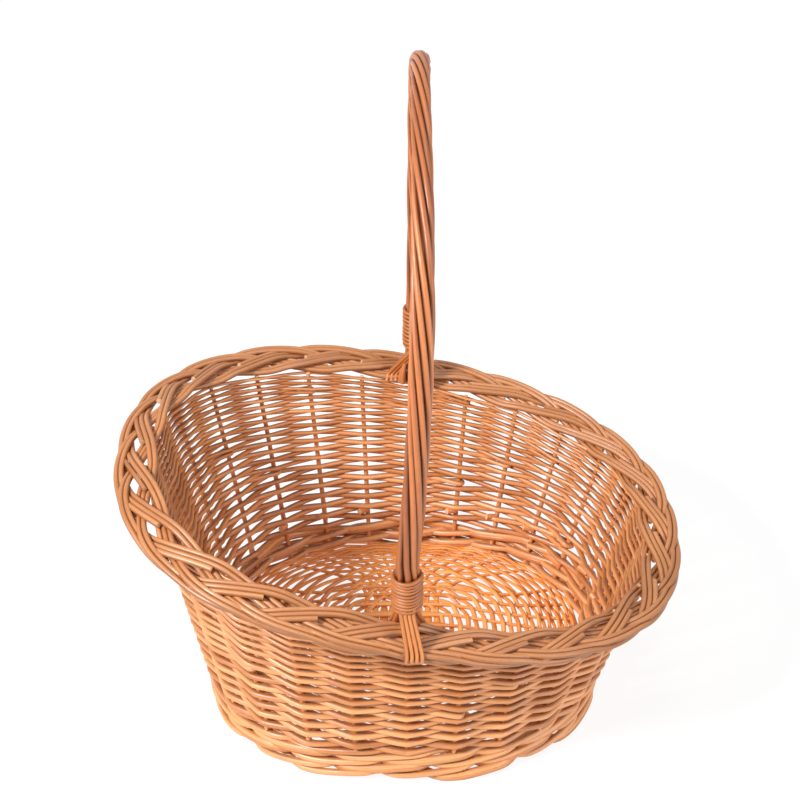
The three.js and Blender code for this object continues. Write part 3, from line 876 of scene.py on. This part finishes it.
def floor_point(share, reach):
    """Point of the floor at a share round the wall and a reach of 0 to 1 from the middle to the wall."""
    rise = rise_of_height(share, np.full_like(share, FLOOR_EDGE_LEVEL))
    edge = beside_wall(share, rise, np.full_like(share, -(FOOT_HALF + FLOOR_GAP)))
    return np.stack([edge[..., 0] * reach, edge[..., 1] * reach, floor_height(reach)], axis=-1)


FLOOR_ROUND = np.linspace(0.0, 1.0, 400)
FLOOR_HALF = np.abs(floor_point(FLOOR_ROUND, np.ones_like(FLOOR_ROUND))).max(axis=0)[:2]


def floor_reach(points):
    """Reach of points of the floor: 1 on the rounded oblong of its edge, 0 in the middle."""
    parts = (np.abs(points[:, :2]) / FLOOR_HALF) ** BASE_SQUARENESS
    return parts.sum(axis=1) ** (1 / BASE_SQUARENESS)


def floor_turn(points):
    """Share of a turn at which points of the floor lie about its middle."""
    return np.unwrap(np.arctan2(points[:, 1] / FLOOR_HALF[1], points[:, 0] / FLOOR_HALF[0])) / (2 * np.pi)


def stick_path(lengthways, number):
    """Floor stick: straight in the middle, fanned out to the wall, and lifted where the sticks cross."""
    aside = number * (FLOOR_LONG_SPACING if lengthways else -FLOOR_CROSS_SPACING)
    fan_degrees = (FLOOR_FAN if lengthways else FLOOR_CROSS_FAN)[abs(number)]
    turn = math.copysign(fan_degrees / 360, number)
    reach = np.linspace(FLOOR_STICK_REACH, 0.0, FLOOR_STICK_STEPS)
    ends = []
    for start, way in ((0.25, 1), (0.75, -1)):
        share = np.full_like(reach, start + way * turn + (0.0 if lengthways else 0.25))
        fan = floor_point(share, reach)
        straight = fan.copy()
        straight[:, 1 if lengthways else 0] = aside
        ends.append(straight + (fan - straight) * smooth(reach, FLOOR_FAN_FROM, FLOOR_FAN_TO)[:, None])
    path = np.concatenate([ends[0][:-1], ends[1][::-1]])
    part = floor_reach(path)
    crossing = 1 - smooth(part, FLOOR_FAN_FROM, FLOOR_LEVEL_FROM)
    path[:, 2] = floor_height(part) + (1 if lengthways else -1) * FLOOR_STICK_RADIUS * crossing
    return path


def build_floor_sticks():
    """Floor sticks in threes, wide and flat in the middle; returns halves, each from the wall inwards."""
    spokes = []
    for lengthways in (True, False):
        kind = "long" if lengthways else "cross"
        for order in range(FLOOR_STICKS_EACH_WAY):
            bundle = Bundle()
            for mate in FLOOR_MATES:
                number = (order - FLOOR_STICKS_EACH_WAY // 2) * len(FLOOR_MATES) + mate
                path = stick_path(lengthways, number)
                middle = 1 - smooth(floor_reach(path), FLOOR_WIDE_TO, FLOOR_FAN_FROM)
                wide = 1 + FLOOR_STICK_MORE * middle
                bundle.rod(path, FLOOR_STICK_RADIUS * wide, UP, flat=(1 / wide)[:, None, None])
                spokes += [path[:FLOOR_STICK_STEPS], path[:FLOOR_STICK_STEPS - 2:-1]]
            name = f"floor_stick_{kind}_{order + 1}"
            bundle.mesh("look_" + name, FLOOR_LOOK, "floor_willow", [name])
    return spokes


def crossings(spokes, reach):
    """Shares of a turn, in order, at which the sticks cross a round of this reach."""
    found = []
    for spoke in spokes:
        part = floor_reach(spoke)
        low = np.argmin(part)
        if part[low] < reach:
            found.append(np.interp(reach, part[low::-1], floor_turn(spoke)[low::-1]))
    return np.sort(np.mod(found, 1.0))


def build_floor_weave(spokes):
    """Floor weave: flat rounds, over one stick and under the next, the other way in the next round."""
    bundle = Bundle()
    share = np.arange(FLOOR_STEPS) / FLOOR_STEPS
    for order, reach in enumerate(FLOOR_REACHES):
        path = floor_point(share, reach * (1 + waver(share, FLOOR_REACH_WAVER)))
        met = crossings(spokes, reach)
        met = np.concatenate([[met[-1] - 1], met, [met[0] + 1]])
        count = np.interp(np.mod(floor_turn(path), 1.0), met, np.arange(len(met)))
        path[:, 2] += FLOOR_ROD_LIFT * zigzag(count + order, FLOOR_KINK)
        narrow = 1 - FLOOR_NARROWING * smooth(reach, FLOOR_NARROW_FROM, FLOOR_NARROW_TO)
        width = FLOOR_ROD_RADIUS * narrow * (1 + waver(share, FLOOR_WIDTH_WAVER))
        bundle.rod(path, width, UP, sides=FLOOR_ROD_SIDES, closed=True, flat=FLOOR_ROD_FLATNESS)
    names = [f"floor_weave_{i + 1}" for i in range(FLOOR_RINGS)]
    bundle.mesh("look_floor_weave", FLOOR_LOOK, "floor_willow", names)


# Plaited rim

def plait_frame(share):
    """Middle of the plait, the direction across it (outward and a little down) and over it (up)."""
    flat = oblong(MOUTH_LENGTH, MOUTH_WIDTH, MOUTH_SQUARENESS, angle_at(share))
    tilt, sag = plait_lean(flat[..., :1], flat[..., 1:])
    centre = np.concatenate([flat, rim_height(flat[..., :1]) - sag], axis=-1)
    level = unit(np.cross(wall_along(share, 1.0), UP))
    across = level * np.cos(tilt) - UP * np.sin(tilt)
    over = UP * np.cos(tilt) + level * np.sin(tilt)
    return centre, across, over


def plait_angle(turns):
    """Swing angle after some turns round the rim; a strand closes after as many turns as strands."""
    return 2 * np.pi * (PLAIT_UNITS / PLAIT_STRANDS * turns + PLAIT_START)


def plait_turns(angle):
    """Turns round the rim at which a swing angle is reached."""
    return (angle / (2 * np.pi) - PLAIT_START) * PLAIT_STRANDS / PLAIT_UNITS


def plait_strand(turns):
    """Middle of a strand: a cosine across the plait, crossing nearer its outer edge.

    Its lift is a sine of twice the rate, squared off by tanh.
    """
    centre, across, over = plait_frame(turns)
    angle = plait_angle(turns)
    width = PLAIT_SWING * (1 - PLAIT_NARROWING * centre[..., 0] / (MOUTH_LENGTH / 2))
    flat = (np.cos(angle) - PLAIT_FLATNESS * np.cos(3 * angle)) / (1 - PLAIT_FLATNESS)
    swing = width * (flat + PLAIT_BIAS * (1 - np.cos(2 * angle)))
    lift = np.tanh(PLAIT_LIFT_SQUARENESS * np.sin(2 * angle)) / math.tanh(PLAIT_LIFT_SQUARENESS)
    return centre + across * swing[..., None] - over * (PLAIT_LIFT * lift)[..., None]


def plait_path(turns, mate):
    """Rod of the plait, some spacings beside the middle of its strand; five rounds make one strand."""
    step = 2e-4
    run = unit(plait_strand(turns + step) - plait_strand(turns - step))
    beside = unit(np.cross(run, plait_frame(turns)[2]))
    return plait_strand(turns) + beside * (mate * PLAIT_ROD_SPACING)


def build_plait():
    """Plait: strands of two rods, with a third on each run inwards up to its cut and on each way back."""
    bundle = Bundle()
    steps = PLAIT_UNITS * PLAIT_STRANDS * STEPS_PER_PLAIT_UNIT
    turns = np.arange(steps) / steps * PLAIT_STRANDS
    for mate in PLAIT_MATES:
        path = plait_path(turns, mate)
        path[:, 2] += waver(turns / PLAIT_STRANDS, PLAIT_WAVER, PLAIT_WAVES)
        bundle.rod(path, PLAIT_ROD_RADIUS, UP, closed=True)
    for unit_number in range(PLAIT_UNITS):
        begin = 2 * np.pi * unit_number
        cut = np.pi / 2 * (CUT_ROD_QUARTERS + CUT_ROD_QUARTERS_MORE * chance.random())
        angle = np.linspace(CUT_ROD_FROM, cut, CUT_ROD_STEPS) + begin
        path = plait_path(plait_turns(angle), PLAIT_THIRD_MATE)
        thickness = CUT_ROD_THICKNESS + CUT_ROD_THICKNESS_MORE * chance.random()
        bundle.rod(path, PLAIT_ROD_RADIUS * thickness, UP, cuts=(0.0, 0.5))
        angle = np.linspace(RETURN_ROD_FROM, RETURN_ROD_TO, RETURN_ROD_STEPS) + begin
        path = plait_path(plait_turns(angle), PLAIT_THIRD_MATE)
        bundle.rod(path, PLAIT_ROD_RADIUS * RETURN_ROD_THICKNESS, UP, cuts=(0.0, 0.0))
    bundle.mesh("look_rim_plait", PLAIT_LOOK, "plait_willow", ["rim_plait_1", "rim_plait_2", "rim_plait_3"])


# Handle

def bezier(first, second, third, fourth, count):
    """Cubic curve through its first and fourth points, pulled by the other two."""
    t = np.linspace(0.0, 1.0, count)[:, None]
    s = 1 - t
    return s ** 3 * first + 3 * s * s * t * second + 3 * s * t * t * third + t ** 3 * fourth


def handle_line():
    """Line of the handle: up the wall at the front, over the top and down the wall at the back."""
    halves = []
    apex = np.array([HANDLE_APEX_SHIFT, 0.0, HANDLE_TOP - BUNDLE_RADIUS])
    for share, way in ((0.0, -1.0), (0.5, 1.0)):
        low = STAKE_FOOT / (RIM_HEIGHT - WALL_TOP_DROP)
        foot = wall_point(np.array([share]), np.array([low]))[0]
        direction = unit(wall_point(np.array([share]), np.array([1.0]))[0] - foot)
        top = foot + direction * (HANDLE_LEG_TOP - foot[2]) / direction[2]
        crown = apex + np.array([0.0, way * HANDLE_CROWN, 0.0])
        leg = foot + (top - foot) * np.linspace(0.0, 1.0, LEG_STEPS)[:, None]
        shoulder = top + direction * HANDLE_SHOULDER
        shoulder[0] = top[0] + (apex[0] - top[0]) * HANDLE_LEAN
        curve = bezier(top, shoulder, crown, apex, CROWN_STEPS)
        halves.append(np.concatenate([leg, curve[1:]]))
    return np.concatenate([halves[0], halves[1][-2::-1]])


HANDLE_POINTS = handle_line()
HANDLE_RUN = run_along(HANDLE_POINTS)
HANDLE_LENGTH = HANDLE_RUN[-1]


def handle_point(distance):
    """Point of the handle's line at a distance along it."""
    return np.stack([np.interp(distance, HANDLE_RUN, HANDLE_POINTS[:, k]) for k in range(3)], axis=-1)


def handle_frame(distance):
    """Point, sideways direction and the direction towards the inside of the bow."""
    step = 4 * MM
    low = np.clip(distance - step, 0, HANDLE_LENGTH)
    high = np.clip(distance + step, 0, HANDLE_LENGTH)
    along = unit(handle_point(high) - handle_point(low))
    within = unit(np.cross(along, RIGHT))
    across = np.cross(within, along)
    return handle_point(distance), across, within


def leg_distance(height):
    """Distance along the front leg at which it is this high."""
    return np.interp(height, HANDLE_POINTS[:LEG_STEPS, 2], HANDLE_RUN[:LEG_STEPS])


BINDING_START = leg_distance(PLAIT_TOP + BINDING_RISE)
ROD_END = leg_distance(PLAIT_TOP - HANDLE_ROD_DEPTH)


def handle_slim(distance):
    """Share of the full thickness: less at the top of the handle, by a bell curve about its middle."""
    return 1 - HANDLE_SLIM * np.exp(-((distance / HANDLE_LENGTH - 0.5) / HANDLE_SLIM_SPAN) ** 2)


def handle_held(distance):
    """0 at the rods' ends behind the plait, smoothly to 1 at the bindings and between them."""
    return smooth(np.minimum(distance, HANDLE_LENGTH - distance), ROD_END, BINDING_START)


def round_handle(across, within, aside, inside):
    """Way from the handle's line: aside across it and inside towards the inside of the bow."""
    return across * aside[:, None] + within * inside[:, None]


def build_bow():
    """Bow: one rod along the whole handle, thinner in the wall."""
    bundle = Bundle()
    distance = np.linspace(0.0, HANDLE_LENGTH, HANDLE_STEPS)
    taper = BOW_TAPER + (1 - BOW_TAPER) * handle_held(distance)
    bundle.rod(handle_point(distance), BOW_RADIUS * handle_slim(distance) * taper, RIGHT)
    bundle.mesh("look_handle_bow", STAKE_LOOK, "stake_willow", ["handle_bow"])


def build_handle_rods():
    """Rods twisted round the bow; below the bindings they spread and go in behind the plait."""
    distance = np.linspace(ROD_END, HANDLE_LENGTH - ROD_END, HANDLE_STEPS)
    centre, across, within = handle_frame(distance)
    part = (distance - ROD_END) / (HANDLE_LENGTH - 2 * ROD_END)
    twist = part - HANDLE_HURRY * np.sin(2 * np.pi * part) / (2 * np.pi)
    slim = handle_slim(distance)
    held = handle_held(distance)[:, None]
    for order in range(HANDLE_RODS):
        bundle = Bundle()
        turns = order / HANDLE_RODS - HANDLE_TURNS * twist + waver(part / 2, HANDLE_TURN_WAVER, 3)
        cosine = np.cos(2 * np.pi * turns)
        sine = np.sin(2 * np.pi * turns)
        ring = slim * HANDLE_RING + waver(part / 2, HANDLE_RING_WAVER, 4)
        twisted = round_handle(across, within, ring * cosine, ring * sine)
        splayed = round_handle(across, within, SPLAY_ASIDE * cosine, SPLAY_INSIDE + SPLAY_DEPTH * sine)
        path = centre + splayed + (twisted - splayed) * held
        thickness = slim * HANDLE_ROD_RADIUS * (1 + waver(part / 2, HANDLE_ROD_WAVER, 3))
        bundle.rod(path, thickness, unit(path - centre), sides=HANDLE_ROD_SIDES)
        name = f"handle_rod_{order + 1}"
        bundle.mesh("look_" + name, HANDLE_LOOK, "handle_willow", [name])


# Bindings and ties

def through(knots, count):
    """Smooth curve through knots: each span a cubic whose slopes are half the step between neighbours."""
    slope = np.gradient(knots, axis=0)
    place = np.linspace(0.0, len(knots) - 1, count)
    span = np.minimum(place.astype(int), len(knots) - 2)
    t = (place - span)[:, None]
    return ((2 * t ** 3 - 3 * t ** 2 + 1) * knots[span] + (t ** 3 - 2 * t ** 2 + t) * slope[span]
            + (3 * t ** 2 - 2 * t ** 3) * knots[span + 1] + (t ** 3 - t ** 2) * slope[span + 1])


def add_ties(bundle, front):
    """Ties: thin rods side by side from under a binding, straight over the plait and in under its edge.

    At the back a second set goes over the inner edge and ends on it.
    """
    middle, across, over = (part[0] for part in plait_frame(np.array([0.0 if front else 0.5])))
    reach = PLAIT_SWING + PLAIT_ROD_SPACING / 2 + PLAIT_ROD_RADIUS
    depth = PLAIT_LIFT + PLAIT_ROD_RADIUS + TIE_RADIUS
    top = BINDING_START + TIE_HELD
    centre, _, inward = handle_frame(top if front else HANDLE_LENGTH - top)
    lift, inset, drifted = TIE_FRONT_REST if front else TIE_BACK_REST
    sides = ((1.0, TIE_OUTER_DRIFT),) if front else ((1.0, TIE_OUTER_DRIFT), (-1.0, TIE_INNER_DRIFT))
    for side, drift in sides:
        away = side * across
        edge = middle + away * reach
        for order in range(TIES):
            lead = order - (TIES - 1) / 2
            aside = RIGHT * (drift + lead * TIE_SPACING)
            held = centre - inward * side * TIE_HELD_OUT + RIGHT * lead * TIE_HELD_SPACING
            rest = edge + over * (depth + lift) - away * inset + aside * drifted
            knots = [held[0], held[1], rest] if front else [held[0], held[1], (held[1] + rest) / 2, rest]
            if side > 0:
                knots.append(edge + away * TIE_RADIUS - over * TIE_EDGE_DROP + aside)
                knots.append(edge - over * depth * TIE_TUCK_DEPTH - away * TIE_TUCK_IN + aside)
            else:
                last = edge + away * TIE_RADIUS * TIE_INNER_OUT
                knots.append(last + over * TIE_INNER_LIFT * depth + aside)
            bundle.rod(through(np.array(knots), TIE_STEPS), TIE_RADIUS, RIGHT, seam=STACKED)


def build_bindings():
    """Bindings: a thin rod wound ten times round the foot of the handle, and the ties that leave it."""
    axis = unit(HANDLE_POINTS[LEG_STEPS * 3 // 4] - HANDLE_POINTS[LEG_STEPS // 4])
    loops = np.linspace(0.0, BINDING_LOOPS, BINDING_LOOPS * BINDING_STEPS_PER_LOOP + 1)
    angle = 2 * np.pi * loops
    for name, start, way in (("handle_binding_front", BINDING_START, 1.0),
                             ("handle_binding_back", HANDLE_LENGTH - BINDING_START, -1.0)):
        bundle = Bundle()
        centre, across, within = handle_frame(start + way * BINDING_PITCH * loops)
        slope = BINDING_SLOPE * np.cos(angle + BINDING_SLOPE_TURN)
        slope = slope + waver(loops / BINDING_LOOPS, BINDING_WAVER, 9)
        ring = BINDING_RING + waver(loops / BINDING_LOOPS, BINDING_WAVER, 7)
        wound = round_handle(across, within, ring * np.cos(angle), ring * np.sin(angle))
        bundle.rod(centre + UP * slope[:, None] + wound, BINDING_RADIUS, axis, seam=STACKED)
        add_ties(bundle, way > 0)
        bundle.mesh("look_" + name, BINDING_LOOK, "binding_willow", [name])


build_side_weave()
build_stakes()
build_wale()
build_floor_weave(build_floor_sticks())
build_plait()
build_bow()
build_handle_rods()
build_bindings()


# Stage, light and camera

def seen_directly(tree):
    """1 for rays that show the background itself: from the camera, through glass or off a gloss."""
    rays = tree.nodes.new("ShaderNodeLightPath")
    seen = maths(tree, "MAXIMUM", rays.outputs["Is Camera Ray"], rays.outputs["Is Transmission Ray"])
    return maths(tree, "MAXIMUM", seen, rays.outputs["Is Glossy Ray"])


def mix_shaders(tree, amount, first, second, out):
    """Mixes two shaders by a socket's amount, into the surface of the output."""
    mix = tree.nodes.new("ShaderNodeMixShader")
    link(tree, amount, mix.inputs[0])
    link(tree, first.outputs[0], mix.inputs[1])
    link(tree, second.outputs[0], mix.inputs[2])
    link(tree, mix.outputs[0], out.inputs["Surface"])


def build_stage():
    """Plain white ground: seen almost evenly white, with the basket's soft shadow left on it."""
    mesh = bpy.data.meshes.new("stage_floor")
    corners = [(x * STAGE_HALF, y * STAGE_HALF, 0) for x, y in ((-1, -1), (1, -1), (1, 1), (-1, 1))]
    mesh.from_pydata(corners, [], [(0, 1, 2, 3)])
    piece = bpy.data.objects.new("stage_floor", mesh)
    bpy.context.scene.collection.objects.link(piece)
    piece.location.z = cad_box[0][2] - STAGE_GAP
    material = bpy.data.materials.new("stage_white")
    material.use_nodes = True
    tree = material.node_tree
    tree.nodes.clear()
    out = tree.nodes.new("ShaderNodeOutputMaterial")
    matt = tree.nodes.new("ShaderNodeBsdfDiffuse")
    matt.inputs["Color"].default_value = (STAGE_GREY, STAGE_GREY, STAGE_GREY, 1)
    glow = tree.nodes.new("ShaderNodeEmission")
    glow.inputs["Strength"].default_value = STAGE_GLOW
    amount = spread(tree, seen_directly(tree), 0.0, 1.0, STAGE_GLOW_LIT, STAGE_GLOW_SEEN)
    mix_shaders(tree, amount, matt, glow, out)
    mesh.materials.append(material)


def build_world():
    """World: even soft light for the object, plain white to the camera."""
    world = bpy.data.worlds.new("studio")
    bpy.context.scene.world = world
    world.use_nodes = True
    tree = world.node_tree
    tree.nodes.clear()
    out = tree.nodes.new("ShaderNodeOutputWorld")
    soft = tree.nodes.new("ShaderNodeBackground")
    soft.inputs["Color"].default_value = (1.0, 1.0, 1.0, 1)
    soft.inputs["Strength"].default_value = WORLD_LIGHT
    white = tree.nodes.new("ShaderNodeBackground")
    white.inputs["Strength"].default_value = 1.0
    mix_shaders(tree, seen_directly(tree), soft, white, out)


def aim(thing, target):
    """Turns a lamp or camera so that it looks at a point."""
    thing.rotation_euler = (Vector(target) - thing.location).to_track_quat("-Z", "Y").to_euler()


def area_light(name, place, target, size, power):
    """Square soft light."""
    data = bpy.data.lights.new(name, "AREA")
    data.shape = "SQUARE"
    data.size = size
    data.energy = power
    lamp = bpy.data.objects.new(name, data)
    bpy.context.scene.collection.objects.link(lamp)
    lamp.location = place
    aim(lamp, target)


def build_camera():
    """Camera fitted to the photo: 36 mm wide sensor, looking down at the basket from the front."""
    data = bpy.data.cameras.new("camera")
    data.sensor_width = CAMERA_SENSOR
    data.lens = CAMERA_SENSOR * CAMERA_FOCAL_PIXELS / PHOTO_PIXELS
    data.clip_end = 50
    camera = bpy.data.objects.new("camera", data)
    bpy.context.scene.collection.objects.link(camera)
    away = np.array([0.0, -math.cos(CAMERA_ELEVATION), math.sin(CAMERA_ELEVATION)])
    camera.location = CAMERA_TARGET + away * CAMERA_DISTANCE
    aim(camera, CAMERA_TARGET)
    bpy.context.scene.camera = camera


build_stage()
build_world()
area_light("key", (-1.9, -1.3, 2.1), (0, 0, 0.2), 0.6, 104)
area_light("fill", (1.9, -1.0, 1.6), (0, 0, 0.2), 1.0, 12)
area_light("low", (1.7, -1.3, 0.45), (0, 0, 0.1), 0.8, 11)
area_light("top", (0.15, 0.2, 2.6), (0, 0, 0), 1.2, 10)
build_camera()
bpy.context.scene.view_settings.view_transform = "Standard"
